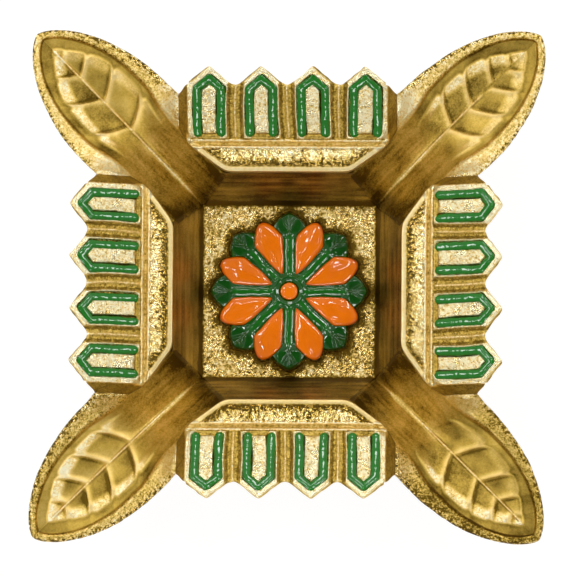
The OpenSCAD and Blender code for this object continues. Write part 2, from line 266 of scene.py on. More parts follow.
def ramp(tree, factor, stops):
    made = node(tree, "ShaderNodeValToRGB", {0: factor})
    elements = made.color_ramp.elements
    while len(elements) < len(stops):
        elements.new(0.5)
    for element, (place, colour) in zip(elements, stops):
        element.position = place
        element.color = (*colour, 1)
    return made.outputs[0]


def cloud_node(tree, scale, detail, roughness=0.5):
    """Noise fixed to the object, with so many clouds a metre."""
    place = node(tree, "ShaderNodeTexCoord").outputs["Object"]
    inputs = {"Vector": place, "Scale": scale, "Detail": detail, "Roughness": roughness}
    return node(tree, "ShaderNodeTexNoise", inputs).outputs[0]


def attribute_node(tree, name):
    return node(tree, "ShaderNodeAttribute", attribute_name=name).outputs["Fac"]


def new_material(name):
    mat = bpy.data.materials.new(name)
    mat.use_nodes = True
    tree = mat.node_tree
    tree.nodes.clear()
    return mat, tree


def surface(tree, bumps, inputs):
    """Ends a material with its shader, over its bumps."""
    normal = node(tree, "ShaderNodeBump", bumps).outputs[0]
    shader = node(tree, "ShaderNodeBsdfPrincipled", {"Normal": normal, **inputs})
    node(tree, "ShaderNodeOutputMaterial", {0: shader.outputs[0]})


def linear(r, g, b):
    """A colour given as it looks, 0 to 255, in the shader's linear numbers."""
    return tuple(c / 12.92 if c <= 0.04045 else ((c + 0.055) / 1.055) ** 2.4 for c in (r / 255, g / 255, b / 255))


# Brass from polished to tarnished, and with it from painted highlight to painted shade
BRASS_TONES = (
    (0.0, (0.95, 0.87, 0.58)),
    (0.22, (0.9, 0.71, 0.33)),
    (0.48, (0.78, 0.55, 0.165)),
    (0.75, (0.5, 0.335, 0.06)),
    (1.0, (0.12, 0.07, 0.008)),
)
CLOUD_TONE, FLECK_TONE = 0.2, 2.3
SATIN_ROUGH, GRIT_ROUGH, CLOUD_ROUGH = 0.43, -0.2, 0.08
SATIN_BUMP, GRIT_BUMP, BRASS_BUMP_M = 0.1, 0.85, 0.0002
# Enamel
UNEVEN_TONE, GLOSS, ENAMEL_IOR = 0.5, 0.08, 1.55
RIPPLE, RIPPLE_M = 0.14, 0.00008


def brass_material():
    """Cast brass, whose colour follows tone, and whose flecks, bumps and gloss follow grit."""
    mat, tree = new_material("cast_brass")
    tone, grit = attribute_node(tree, "tone"), attribute_node(tree, "grit")
    cloud, fleck = cloud_node(tree, 420, 2), cloud_node(tree, 4200, 2, 0.6)
    specks = swing(tree, fleck, math_node(tree, "MULTIPLY", grit, FLECK_TONE))
    shade = math_node(tree, "ADD", tone, swing(tree, cloud, CLOUD_TONE))
    shade = math_node(tree, "ADD", shade, specks, clamp=True)
    rough = math_node(tree, "ADD", math_node(tree, "MULTIPLY", grit, GRIT_ROUGH), SATIN_ROUGH)
    rough = math_node(tree, "ADD", rough, math_node(tree, "MULTIPLY", cloud, CLOUD_ROUGH))
    fine = math_node(tree, "ADD", math_node(tree, "MULTIPLY", grit, GRIT_BUMP), SATIN_BUMP)
    surface(
        tree, {"Strength": fine, "Distance": BRASS_BUMP_M, "Height": fleck},
        {"Base Color": ramp(tree, shade, BRASS_TONES), "Roughness": rough, "Metallic": 1},
    )
    return mat


def enamel_material(name, thick, thin):
    """Glossy enamel: thick colour with a little unevenness, thin and darker where tone rises at its edges."""
    mat, tree = new_material(name)
    uneven = swing(tree, cloud_node(tree, 700, 3), UNEVEN_TONE)
    shade = math_node(tree, "ADD", attribute_node(tree, "tone"), uneven, clamp=True)
    surface(
        tree, {"Strength": RIPPLE, "Distance": RIPPLE_M, "Height": cloud_node(tree, 1500, 1)},
        {"Base Color": ramp(tree, shade, [(0, thick), (1, thin)]), "Roughness": GLOSS, "IOR": ENAMEL_IOR},
    )
    return mat


FINISHES = {
    "cast_brass": brass_material(),
    "green_enamel": enamel_material("green_enamel", linear(19, 111, 18), linear(7, 60, 3)),
    "orange_enamel": enamel_material("orange_enamel", linear(238, 119, 0), linear(205, 82, 0)),
}


# ---------------------------------------------------------------- leaf spouts
TAPER_IN, TAPER_OUT = 2.1, 0.68  # how blunt the tips are
SWELL_S, RIM_TAPER_S, BLADE_TAPER_S = 36, 46, 51  # where the channel widens, and the rim and blade narrow
BLADE_SHARE = 0.62  # of the width inside the rim, that the blade has at least
LEVEL_S = 38  # where the rim's heights are given, inside and outside
RIM_IN_Z, RIM_IN_FALL, RIM_OUT_Z, RIM_OUT_FALL, RIM_RUN = 16.4, 0.055, 16.7, 0.065, 3
FLANK_END_S = 36
SINK_S, BOW_S, TIP_BOW_S, BOW, TIP_BOW = (35, 41), (24, 40), (50, 60), 0.35, 1.4


def tip_taper(s, start, end):
    """Share of its width that an outline keeps, from start to its tip at end."""
    return (1 - np.clip((s - start) / (end - start), 0, 1) ** TAPER_IN) ** TAPER_OUT


def under_z(y):
    """Height of the crest's underside."""
    return LEDGE_Z + np.maximum(0, y - UNDER_Y) * LEAN


def half_width(s):
    return np.where(s <= FLANK_S, TROUGH_HALF, np.minimum(s - END_S, LEAF_HALF * tip_taper(s, FULL_S, REACH)))


def rim_edge(s):
    return (TROUGH_HALF + GROOVE_SWELL * ease(SWELL_S, GROOVE_S, s)) * tip_taper(s, RIM_TAPER_S, GROOVE_TIP)


def blade_edge(s):
    r = rim_edge(s)
    return np.maximum(BLADE_SHARE * r, r - GROOVE_W) * tip_taper(s, BLADE_TAPER_S, BLADE_TIP)


def mid_z(s):
    return FLOOR_T + TROUGH_RISE * (1 - np.exp(-(s - ROOT_S) / TROUGH_RUN))


def rim_in_z(s):
    return smooth_min(under_z((s + TROUGH_HALF) / DIAGONAL), RIM_IN_Z - RIM_IN_FALL * (s - LEVEL_S), 1.0)


# Where a leaf's flanks reach its full width
stations = np.arange(FLANK_S, FULL_S, 0.01)
WIDE_S = float(stations[stations - END_S >= LEAF_HALF].min())


def rim_out_z(s):
    top = under_z(WIDE_S * DIAGONAL - CREST_END) + LIP_RISE
    low = RIM_OUT_Z - RIM_OUT_FALL * (s - LEVEL_S)
    flank = under_z(s * DIAGONAL - CREST_END) + LIP_RISE * ease(FLANK_S, FLANK_END_S, s)
    rest = low + (top - low) * np.exp(-np.maximum(0, s - WIDE_S) / RIM_RUN)
    return np.where(s <= FLANK_S, rim_in_z(s), np.where(s <= WIDE_S, flank, rest))


def channel_z(s, w):
    t = np.clip(w / np.maximum(0.01, rim_edge(s)), 0, 1)
    sink = RIM_STEP * ease(*SINK_S, s)
    bow = 1 + BOW * ease(*BOW_S, s) + TIP_BOW * ease(*TIP_BOW_S, s)
    return mid_z(s) + (rim_in_z(s) - sink - mid_z(s)) * t**bow


def wall_z(s, w, half):
    """Height at which a wall that leans out from the given half width passes s and w."""
    return ((s + w) / DIAGONAL - half) / WALL_LEAN


# Where each leaf's veins meet its midrib, and where the midrib ends
VEINS = {
    "nw": (34.2, 40.2, 47.0, 53.0, 57.7),
    "ne": (34.6, 40.8, 45.9, 51.2, 55.6),
    "se": (35.4, 42.0, 48.5, 53.3, 57.2),
    "sw": (34.0, 39.6, 45.2, 50.4, 55.4),
}
MIDRIBS = {"nw": BLADE_TIP, "ne": 49.5, "se": BLADE_TIP, "sw": BLADE_TIP}
# How deep the shade beyond each vein is
SHADES = {"nw": 0.15, "ne": 0.2, "se": 0.13, "sw": 0.34}
# To the left and right of a midrib: how grainy the blade is, how deep the painted shade over it is, how high and
# grainy its border is and how bright the painted highlight on it is, and how deep the painted shade in the groove
# beside the rim is
BLADE_GRIT = {"nw": (0.12, 0.05), "ne": (0.17, 0.1), "se": (0.05, 0.12), "sw": (0.07, 0.07)}
BLADE_SHADES = {"nw": (0.18, 0.06), "ne": (0.16, 0.1), "se": (0.16, 0.18), "sw": (0.15, 0.01)}
BORDERS = {"nw": (1.0, 0.35), "ne": (0.9, 0.5), "se": (0.2, 1.0), "sw": (0.85, 0.9)}
GROOVE_SHADES = {"nw": (1.0, 0.55), "ne": (1.0, 0.35), "se": (0.3, 1.0), "sw": (0.3, 1.0)}
# To the left and right of a midrib: the rim's painted light and shade and its grain beside the crest, and its
# painted light and shade and grain further out
RIMS = {
    "nw": ((0.07, 0.6, 0.44, 0.72), (0.06, 0.8, 0.59, 0.95)),
    "ne": ((0.03, 0.8, 0.5, 1.0), (0.15, 0.85, 0.46, 0.8)),
    "se": ((0.38, 0.6, 0.72, 0.65), (0.58, 1.1, 0.87, 0.8)),
    "sw": ((0.33, 0.5, 0.62, 0.9), (0.53, 0.95, 0.66, 0.95)),
}

# From where to where along a leaf each thing comes in
BLADE_S, BAND_S, LATE_S, RIM_OUT_S = (35, 40), (38, 42), (40, 56), (37, 43)
# Heights of the blade, its border, lobes and veins, the cuts beside them, and the lip's bead and fall
BLADE_LIFT, BORDER_LIFT, LOBE_LIFT, VEIN_LIFT = 0.14, 0.12, 0.26, 0.16
CREASE_CUT, MOAT_CUT, BEAD_LIFT, LIP_FALL = 0.1, 0.03, 0.1, 0.4
# Tone of the trough, and the painted shade that it gains in its lower half and again beside the well
TROUGH_TONE, LOWER_SHADE, WELL_SHADE = 0.67, 0.14, 0.16


def vein_marks(s, w, side, corner):
    """How far each lobe has risen, and how near its veins' ridges, creases and shades are, all from 0 to 1."""
    p = s - (0.45 + 0.013 * (s - 38)) * w - 0.018 * w * (w - 4) - 0.35 * side
    lobe, ridge, crease, shade = np.zeros((4, *s.shape))
    starts = (*VEINS[corner], BLADE_TIP + 3)
    for a, b in zip(starts, starts[1:]):
        t = np.clip((p - a) / (b - a), 0, 1)
        between = (p > a) & (p <= b)
        lobe = np.where(between, t * t, lobe)
        shade = np.where(between, (1 - t) ** 2, shade)
        ridge = np.maximum(ridge, bell(p, a - 0.35, 0.55))
        crease = np.maximum(crease, bell(p, a + 0.45, 0.34))
    return lobe, ridge, crease, shade


def leaf_surface(s, w, side, corner):
    """Height, grit and tone of a leaf's top at s along its axis and w to the given side of the midrib."""
    def own(table):
        return np.array(table[corner])[(side < 0).astype(int)]

    rim_w, blade_w = rim_edge(s), blade_edge(s)
    on, late, out = ease(*BLADE_S, s), ease(*LATE_S, s), ease(*RIM_OUT_S, s)
    lobe, ridge, crease, shade = vein_marks(s, w, side, corner)
    off_rib = ease(0.1, 0.5, w)
    inside = blade_w * (1 - 0.1 * ridge) - 0.2 * side - w - 0.4 * fade(0, 0.8, blade_w)
    kept = ease(0.5, 1.4, inside)
    blade = on * ease(-0.2, 0.35, inside)
    border = own(BORDERS) * (1 - 0.8 * np.maximum(ridge, crease))
    band = on * ease(0, 0.35, inside) * fade(0.9 + 0.6 * late, 1.6 + 1.3 * late, inside) * ease(*BAND_S, s)
    rim = ease(rim_w - 0.3 - 0.35 * ease(36, 42, s), rim_w + 0.05, w)
    across = np.clip((w - rim_w) / np.maximum(0.01, half_width(s) - rim_w), 0, 1)
    rib_end = MIDRIBS[corner]

    z = channel_z(s, w)
    z += 0.7 * MIDRIB_H * ease(22.5, 29, s) * fade(rib_end - 2.5, rib_end - 0.4, s) * bell(w, 0, 0.25)
    z += BLADE_LIFT * blade
    z += BORDER_LIFT * band * border
    z += LOBE_LIFT * on * (lobe - 0.5) * off_rib * kept
    z += VEIN_LIFT * on * ridge * off_rib * ease(0.2, 1.0, inside)
    z -= CREASE_CUT * on * crease * off_rib * kept
    z -= MOAT_CUT * on * bell(inside, -0.4, 0.35)
    z += rim * (rim_in_z(s) - channel_z(s, rim_w))
    z += np.where(w > rim_w, (rim_out_z(s) - rim_in_z(s)) * across, 0)
    z += ease(FLANK_S, 37, s) * (BEAD_LIFT * bell(w, rim_w + 0.4, 0.35) - LIP_FALL * ease(0.62, 1, across) ** 1.5)
    z = smooth_min(z, FLOOR_T + np.maximum(0, wall_z(s, w, FLOOR_HALF)), 0.25)

    flank = ease(FLANK_S - 0.5, FLANK_S + 1, s) * rim
    near_tone, near_grit, far_tone, far_grit = np.moveaxis(own(RIMS), -1, 0)
    grit = np.maximum.reduce([
        flank * (near_grit + (far_grit - near_grit) * out) * (0.65 + 0.5 * ease(0.3, 0.9, across)),
        0.55 * band * border, own(BLADE_GRIT) * blade, 0.07 + 0.12 * fade(34, 40, s),
    ])
    # painted shade, deeper down the trough toward the well
    tone = TROUGH_TONE + LOWER_SHADE * fade(23, 36, s) + WELL_SHADE * fade(21, 27, s)
    # painted shade over the blade, set for each side, and painted light as each lobe rises toward the next vein
    tone = tone + own(BLADE_SHADES) * on - 0.05 * on * lobe
    # the rim takes its painted light and shade, set for each side
    tone = tone * (1 - flank) + (near_tone + (far_tone - near_tone) * out) * flank
    # painted highlight on the grainy border
    tone -= 0.72 * band * border * (0.75 + 0.35 * lobe)
    # painted highlight on the veins' ridges and painted shade in their creases
    tone = tone - 0.3 * on * ridge * off_rib * blade + 0.16 * on * crease * off_rib * kept
    tone += SHADES[corner] * on * (0.4 + 0.6 * late) * shade * ease(0.3, 1.2, w) * ease(0.8, 2.2, inside)
    # painted highlight along the midrib
    tone -= 0.5 * ease(22.5, 27, s) * bell(w, 0, 0.18) * fade(rib_end - 1.5, rib_end, s)
    tone += 0.02 * on * (1 - blade) * (1 - rim)
    # a painted highlight along the blade's edge and a painted shade just outside it
    tone = tone - 0.12 * on * bell(inside, 0.05, 0.22) + 0.06 * on * bell(inside, -0.45, 0.3)
    # painted shade in the groove inside the rim, set for each side
    tone += (0.06 + 0.15 * late) * own(GROOVE_SHADES) * ease(34, 38, s) * bell(w, rim_w - 0.25, 0.3)
    return z, grit, tone


# Rows across a leaf, from its root to its tip, and columns along it, of which RIM_SHARE lie inside the rim
LEAF_ROWS = np.concatenate([
    np.linspace(ROOT_S, REACH - 1.8, 292),
    REACH - 0.03 - 1.75 * (1 - np.linspace(0.04, 1, 22)) ** 2,
])
RIM_SHARE = 0.75
HALF_TOP = np.concatenate([np.linspace(0, RIM_SHARE, 58), np.linspace(RIM_SHARE, 1, 20)[1:]])
# Columns under it: a few on the upright edge, then the rest
EDGE_SHARE = 0.012
HALF_UNDER = np.concatenate([1 - EDGE_SHARE * np.linspace(0, 1, 6), np.linspace(0.96, 0, 24)])


def leaf_top(corner, degrees, seed):
    """Points, grit and tone of a leaf's top, and its half width and the height of its edge in each row."""
    columns = np.concatenate([-HALF_TOP[::-1], HALF_TOP[1:]])
    s, v = np.meshgrid(LEAF_ROWS, columns, indexing="ij")
    side, a = np.sign(v), abs(v)
    edge_line = spot(s, 9 * side, 0)
    wobble = noise(edge_line, 3.1, seed) + 0.6 * noise(edge_line, 0.9, seed)
    # the outline wavers, and the trough's sides run in under the crests
    half = half_width(s) * (1 - 0.012 * ease(36, 40, s) * (1 + 0.6 * wobble))
    half += (0.25 + 0.3 * fade(24, 28, s)) * fade(36.9, WIDE_S, s)
    on_rim = ease(FLANK_S - 4, FLANK_S + 1.5, s)
    inner = np.minimum(half * RIM_SHARE * (1 - on_rim) + rim_edge(s) * on_rim, half - 0.05)
    w = np.where(a <= RIM_SHARE, a / RIM_SHARE * inner, inner + (a - RIM_SHARE) / (1 - RIM_SHARE) * (half - inner))
    z, grit, tone = leaf_surface(s, w, side, corner)
    top = turned(spot(s, side * w, z), degrees)

    # streaks along the trough, waviness and cast grain
    bumps = grain(top)
    streak = noise(spot(s / 9, side * w, 0), 0.42, seed + 40)
    soft = noise(top, 2.2, seed + 60)
    free = ease(0, 0.5, half - w) * ease(ROOT_S, ROOT_S + 0.8, s)
    lift = 0.08 * grit * bumps + 0.01 * (1 - grit) * streak * fade(34, 42, s) + 0.05 * soft * free
    top += normals(top) * (lift * ease(0, 0.25, half - w))[..., None]
    # the outermost edge is darker and more speckled, and the midrib carries a speckled painted highlight
    outer_edge = ease(1.0, 0.25, half - w) * ease(*BLADE_S, s)
    rib_glint = bell(w, 0, 0.2) * ease(23, 27, s) * fade(MIDRIBS[corner] - 1.5, MIDRIBS[corner], s)
    # the grain's hollows are darker: tarnish there, and painted shade between the grains
    tone = tone - 0.8 * grit * bumps * (1 + 0.8 * outer_edge) + 0.18 * outer_edge
    tone = tone + 0.12 * soft - 0.1 * streak * fade(32, 42, s)
    # painted shade along the trough's sides beside the crests, down to the well, unevenly, with a lighter middle
    beside = fade(25, 31, s) * (ease(2.4, 5.4, w) - 0.3)
    tone += 0.16 * beside * (1 + 0.8 * noise(top, 1.4, seed + 80))
    tone -= rib_glint * (0.35 * bumps + 0.15 * soft)
    return top, grit, tone, half[:, -1:], z[:, -1:]


def leaf_underside(degrees, half, edge_z):
    """Points and grain of a leaf's plain cast underside, from its upright edge in to its keel."""
    columns = np.concatenate([HALF_UNDER, -HALF_UNDER[-2::-1]])
    s, v = np.meshgrid(LEAF_ROWS, columns, indexing="ij")
    a = abs(v)
    w = a * half * 0.985
    rim_w = rim_edge(s)
    slope = (rim_in_z(s) - mid_z(s)) / rim_edge(np.minimum(s, GROOVE_TIP - 2))
    keel = np.minimum(channel_z(s, w), rim_out_z(s)) - LEAF_T * np.sqrt(1 + slope**2)
    across = np.clip((w - rim_w) / np.maximum(0.01, half_width(s) - rim_w), 0, 1)
    keel += np.where(w > rim_w, (rim_out_z(s) - rim_in_z(s)) * across, 0)
    z = np.maximum(0, np.minimum(np.minimum(keel, wall_z(s, w, BASE_HALF)), edge_z - 0.3))
    z = np.maximum(0, z + 0.35 * ease(0.86, 1, a) * ease(FLANK_S, FLANK_S + 2, s))
    down = np.clip((1 - a) / EDGE_SHARE, 0, 1)
    z = np.minimum(z, edge_z - 0.05) * down + (edge_z - 0.05) * (1 - down)
    under = turned(spot(s, np.sign(v) * w, z), degrees)
    bumps = grain(under)
    rough = (1 - a > 0.03) & (z > 0.05)
    under[..., 2] = np.maximum(0, under[..., 2] + np.where(rough, 0.04 * bumps, 0))
    return under, bumps


def leaf_spout(corner, degrees):
    top, grit, tone, half, edge_z = leaf_top(corner, degrees, 11 + CORNERS.index(corner))
    under, bumps = leaf_underside(degrees, half, edge_z)
    rings = np.concatenate([top, under], 1)
    at = numbered(*rings.shape[:2])
    # the ends are closed as fans round a point that sees their whole outline
    root, tip = at.size, at.size + 1
    fans = fan(root, np.roll(at[0], -1), at[0]) + fan(tip, at[-1], np.roll(at[-1], -1))
    ends = [turned(np.array([ROOT_S, 0, 1.5]), degrees), rings[-1].mean(0)]
    add_piece(
        "leaf_spout_cast_" + corner, np.concatenate([rings.reshape(-1, 3), ends]), quads(at) + fans,
        "cast_brass", ["leaf_spout_" + corner], flat=range(-len(fans), 0),
        grit=np.append(np.concatenate([grit, np.full_like(bumps, 0.75)], 1), [0.7, 0.7]),
        # the underside's grain hollows are darker: tarnish there, and painted shade between the grains
        tone=np.append(np.concatenate([tone, 0.5 - 0.25 * bumps], 1), [0.5, 0.5]),
    )


for k, corner in enumerate(CORNERS):
    leaf_spout(corner, 45 - 90 * k)


# ---------------------------------------------------------------- well
PETAL_STEP = math.pi / 4  # angle between two petals
CUP_LINES = 255  # of the grid over the inside, each way
WALL_RINGS = 30
BASE_RINGS = (0.99, 0.95, 0.02)  # in to the middle of the base, as shares of it
BASE_HOLLOW = 0.08
# The walls' tone is a painted shade, and across the floor a painted shade deepens toward the south-east corner
WALL_SHADE, CUP_TONE, FLOOR_SHADE_TILT = 0.86, 0.54, 0.07  # of the walls, the floor, and the change across the floor


def rosette_reach(angle):
    """Outline of the rosette: eight leaf tips, with a petal's round end between each two."""
    a = abs((angle + PETAL_STEP / 2) % PETAL_STEP - PETAL_STEP / 2)
    side = 12.4 * a
    tip = ROSETTE_R - 0.95 * (side / 2.05) ** 1.6 - 0.15 * np.minimum(side, 1)
    petal = PETAL_OUT + 0.12 - 80 * (PETAL_STEP / 2 - a) ** 2
    return smooth_max(smooth_max(tip, petal, 0.12) - 0.03, 12.2, 0.12) - 0.03


def under_leaf(s, w, start, end):
    """Where the root of a leaf covers the cup, coming in from start to end beyond the leaf's own root."""
    return ease(ROOT_S + start, ROOT_S + end, s) * ease(-0.1, 0.1, TROUGH_HALF + 0.1 - w)


def cup_inside():
    """Points, grit and tone of the floor, the rosette's pad and the walls."""
    line = np.linspace(-WALL_Y, WALL_Y, CUP_LINES)
    x, y = np.meshgrid(line, line, indexing="ij")
    far, near = np.maximum(abs(x), abs(y)), np.minimum(abs(x), abs(y))
    s, w = (far + near) / DIAGONAL, (far - near) / DIAGONAL
    outside = np.hypot(x, y) - rosette_reach(np.arctan2(y, x))
    z = FLOOR_T + smooth_max(0, (far - FLOOR_HALF) / WALL_LEAN, 0.7) - 0.02
    z += (PAD_T - 0.08) * fade(0.02, 0.3, outside)
    # the leaves' roots cover the corners, so the cup steps back inside them
    z += (np.minimum(z, channel_z(s, w) - 0.2) - 0.5 - z) * under_leaf(s, w, -0.02, 0.35)
    top = spot(x, y, z)
    floor = fade(FLOOR_HALF - 0.3, FLOOR_HALF + 0.4, far)
    wall = 1 - floor
    bumps, soft = grain(top), noise(top, 2.6, 5)
    drag = noise(spot(np.where(abs(x) > abs(y), y, x) / 5, 0, 2 * z), 0.9, 9)
    lift = (0.07 * floor * bumps + 0.05 * soft + 0.012 * wall * drag) * ease(0, 0.6, WALL_Y - far)
    top += normals(top) * lift[..., None]
    grit = 0.2 + 0.8 * floor
    # the floor's grain hollows are darker: tarnish there, and painted shade between the grains
    tone = CUP_TONE * floor + WALL_SHADE * wall - 0.9 * grit * bumps * floor + 0.1 * soft - 0.12 * drag * wall
    # painted shade across the floor toward the south-east, and painted light on the west wall
    tone += FLOOR_SHADE_TILT * floor * (x - y) / (2 * FLOOR_HALF) - 0.1 * wall * (x < -abs(y))
    # tarnish and painted shade round the rosette and where the walls meet the floor
    wall_foot = bell(far, FLOOR_HALF + 0.15, 0.5) * (z < 8)
    tone += 0.95 * bell(np.maximum(outside - 0.35, 0), 0, 0.9) + 0.5 * wall_foot
    return top, grit, tone


def cup_outside(rim):
    """Rings down the outer wall from the rim, and in to the middle of the base, a trace hollow."""
    rings = []
    for t in np.linspace(0, 1, WALL_RINGS):
        height = rim[:, 2] * (1 - t)
        half = BASE_HALF + height * WALL_LEAN
        ring = rim * (half / WALL_Y)[:, None]
        ring[:, 2] = height
        ax, ay = abs(ring[:, 0]), abs(ring[:, 1])
        back = 0.35 * under_leaf((ax + ay) / DIAGONAL, abs(ax - ay) / DIAGONAL, 0, 0.3)
        ring[:, :2] *= 1 - (back / half)[:, None]
        # the base's corners are cut off along the leaves' roots
        past = abs(ring[:, :2]).sum(1) / DIAGONAL - ROOT_S - 0.02
        ring[:, :2] -= np.sign(ring[:, :2]) * (np.maximum(0, past) * fade(0.5, 3, height) / DIAGONAL)[:, None]
        rings.append(ring)
    for k in BASE_RINGS:
        ring = rings[WALL_RINGS - 1] * [k, k, 1]
        ring[:, 2] = BASE_HOLLOW * ease(1, BASE_RINGS[1], k)
        rings.append(ring)
    return np.array(rings)


def well_cup():
    top, grit, tone = cup_inside()
    index = numbered(CUP_LINES, CUP_LINES)
    loop = np.concatenate([index[:-1, 0], index[-1, :-1], index[:0:-1, -1], index[0, :0:-1]])
    rings = cup_outside(top.reshape(-1, 3)[loop])
    at = np.concatenate([loop[None], index.size + numbered(*rings.shape[:2])])
    bumps = grain(rings)
    bumps[WALL_RINGS:] = 0
    add_piece(
        "well_cup_cast", np.concatenate([top.reshape(-1, 3), rings.reshape(-1, 3)]),
        quads(index, closed=False) + quads(at, flip=True) + [at[-1, ::-1].tolist()],
        "cast_brass", ["well_cup"], flat=(-1,),
        # the outside's grain hollows are darker: tarnish there, and painted shade between the grains
        grit=np.append(grit, np.full_like(bumps, 0.7)), tone=np.append(tone, 0.5 - 0.25 * bumps),
    )


well_cup()


# ---------------------------------------------------------------- crests
# A crest's inner edge in plan, which is cut back beside the troughs
NOSE_X, NOSE_Y = (0, 11.2, 17.9, CREST_END), (SHOULDER_Y, SHOULDER_Y, 25.2, CREST_END + TROUGH_HALF * DIAGONAL)
# The profile of its nose: a narrow flat lip, a step up and the shoulder, by distance inward and drop below it
NOSE_TURN = (0, 0.1, 0.2, 0.3, 0.4, 0.55, 0.65, 0.72, 0.8, 0.88, 0.95, 1)
NOSE_IN = (0, 0.0, 0.02, 0.08, 0.18, 0.46, 0.74, 0.9, 1.05, 1.28, 1.6, 1.95)
NOSE_DROP = (1.95, 1.3, 0.85, 0.64, 0.56, 0.51, 0.5, 0.52, 0.4, 0.22, 0.08, 0)
# Two ridge lines along the panel's foot, and the dip between them
RIDGE_IN_Y, RIDGE_OUT_Y, DIP_Y = FOOT_Y - 1.4, FOOT_Y - 0.25, FOOT_Y - 0.85
# Half the width of an outermost arch on its outer side
END_HALF = CREST_HALF - ARCH_X[-1]
# Middle line of the green arches
ENAMEL_LEG, ENAMEL_FOOT = (INLAY_W - INLAY_STROKE) / 2, 0.5
ENAMEL_TIP = INLAY_LEN - INLAY_STROKE / 2 * GABLE_SLANT
ENAMEL_BEND = ENAMEL_TIP - GABLE_FALL * ENAMEL_LEG

# The shoulders' tone, one for each side, is painted light and shade; the lip takes half of its difference
SHOULDERS = {"north": 0.42, "east": 0.44, "south": 0.62, "west": 0.48}
PANEL_TONE, PANEL_GRIT = 0.81, 0.32
LIP_TONE, LIP_SHOULDER = 0.2, 0.42  # tone of the lip beside a shoulder of the second tone
# The plain ends beside the leaves take a painted shade
END_SHADE, END_GRIT = 0.87, 0.14  # of the plain ends beside the leaves
CREST_COLUMNS, NOSE_ROWS = 327, 30
# Rows over the panel, as shares of the way to the gables
PANEL_ROWS = np.concatenate([np.linspace(0, 0.97, 134)[1:], 1 - 0.03 * (1 - np.linspace(0, 1, 8)[1:]) ** 1.5])


def gable_depth(dx, p, left, right, foot, tip):
    """Distance inside a pointed arch, negative outside it."""
    side = np.where(dx < 0, left + dx, right - dx)
    return np.minimum(np.minimum(side, p - foot), (tip - GABLE_FALL * abs(dx) - p) / GABLE_SLANT)


def stroke_distance(dx, p):
    """Distance from the middle line of the green arch."""
    a = abs(dx) - ENAMEL_LEG
    straight = np.hypot(a, p - np.clip(p, INLAY_STROKE / 2 + ENAMEL_FOOT, ENAMEL_BEND))
    ux, uy = -ENAMEL_LEG, ENAMEL_TIP - ENAMEL_BEND
    t = np.clip((a * ux + (p - ENAMEL_BEND) * uy) / (ux * ux + uy * uy), 0, 1)
    return np.minimum(straight, np.hypot(a - t * ux, p - ENAMEL_BEND - t * uy))


def panel_relief(x, p):
    """Height over the panel, grit and tone at x along the crest and p up the panel."""
    h, grit, tone = np.zeros_like(x), np.full_like(x, PANEL_GRIT), np.full_like(x, PANEL_TONE)
    for middle in ARCH_X:
        dx = x - middle
        left = END_HALF if middle == ARCH_X[0] else ARCH_W / 2
        right = END_HALF if middle == ARCH_X[-1] else ARCH_W / 2
        depth = gable_depth(dx, p, left, right, 0.15, PANEL_LEN - 0.05)
        d = stroke_distance(dx, p)
        inner = gable_depth(dx, p, 1.42, 1.42, 1.1, INLAY_LEN - INLAY_STROKE * GABLE_SLANT + 0.35)
        within = gable_depth(dx, p, 2.1, 2.1, 0, INLAY_LEN - 1.2)
        frame = ease(-0.02, 0.26, depth) * fade(0, 0.5, within)
        groove = fade(0.66, 0.86, d)
        tongue = ease(-0.12, 0.25, inner) * ease(0.4, 1.6, p)
        h += ARCH_H * frame + 0.13 * bell(d, 1.02, 0.16) * frame - 0.35 * groove * ease(0, 0.3, depth)
        h += (ARCH_H + 0.1 + 0.1 * ease(0.2, 0.8, inner)) * tongue
        grit = np.maximum(grit, np.maximum(0.8 * frame, 0.95 * tongue))
        tone = tone - 0.72 * np.maximum(frame * (1 - groove), tongue)
        # a painted highlight on the lip beside the enamel, painted shade in the groove, and painted shade along
        # the frames' outer foot
        tone = tone - 0.1 * bell(d, 1.02, 0.2) * frame + 0.1 * groove * frame
        tone += 0.26 * bell(depth, -0.25, 0.2) * (abs(dx) < END_HALF + 1)
    for middle in ARCH_X[:-1]:
        ridge = bell(x, middle + ARCH_PITCH / 2, 0.26) * ease(0.1, 0.6, p)
        h += 0.3 * ridge
        tone -= 0.52 * ridge
        grit = np.maximum(grit, 0.6 * ridge)
    return h, grit, tone


def base_z(x, y):
    """Height of the shoulder and the bare panel, with the lines along the panel's foot."""
    z = smooth_max(SHOULDER_Z, FOOT_Z + (y - FOOT_Y) * LEAN, 0.15)
    lines = 0.42 * bell(y, RIDGE_IN_Y, 0.3) + 0.5 * bell(y, RIDGE_OUT_Y, 0.3) - 0.12 * bell(y, DIP_Y, 0.35)
    z += ease(-0.1, 0.5, CREST_HALF - abs(x)) * lines
    past = np.clip((abs(x) - CREST_HALF) / (CREST_END - CREST_HALF), 0, 1)
    return z - END_DROP / math.cos(TILT) * past


def crest_plan(x):
    """The nose's line in plan, how far its slant stretches a step inward, and the panel's length, along x."""
    a = abs(x)
    nose = smoothed(np.interp(a, NOSE_X, NOSE_Y), 90)
    slant = np.sqrt(1 + np.gradient(nose, x) ** 2)
    off = np.min([abs(x - middle) for middle in ARCH_X], 0)
    point = np.sqrt(off * off + 0.3 * 0.3) - 0.3
    length = smooth_max(PANEL_LEN - 0.1 - GABLE_FALL * point, VALLEY_LEN, 0.5) - 0.1
    length = np.where(a > ARCH_X[-1] + GABLE_REACH - 0.3, np.minimum(length, VALLEY_LEN - 0.05), length)
    return nose, slant, length - END_CORNER * ease(CREST_END - 1.7, CREST_END, a)


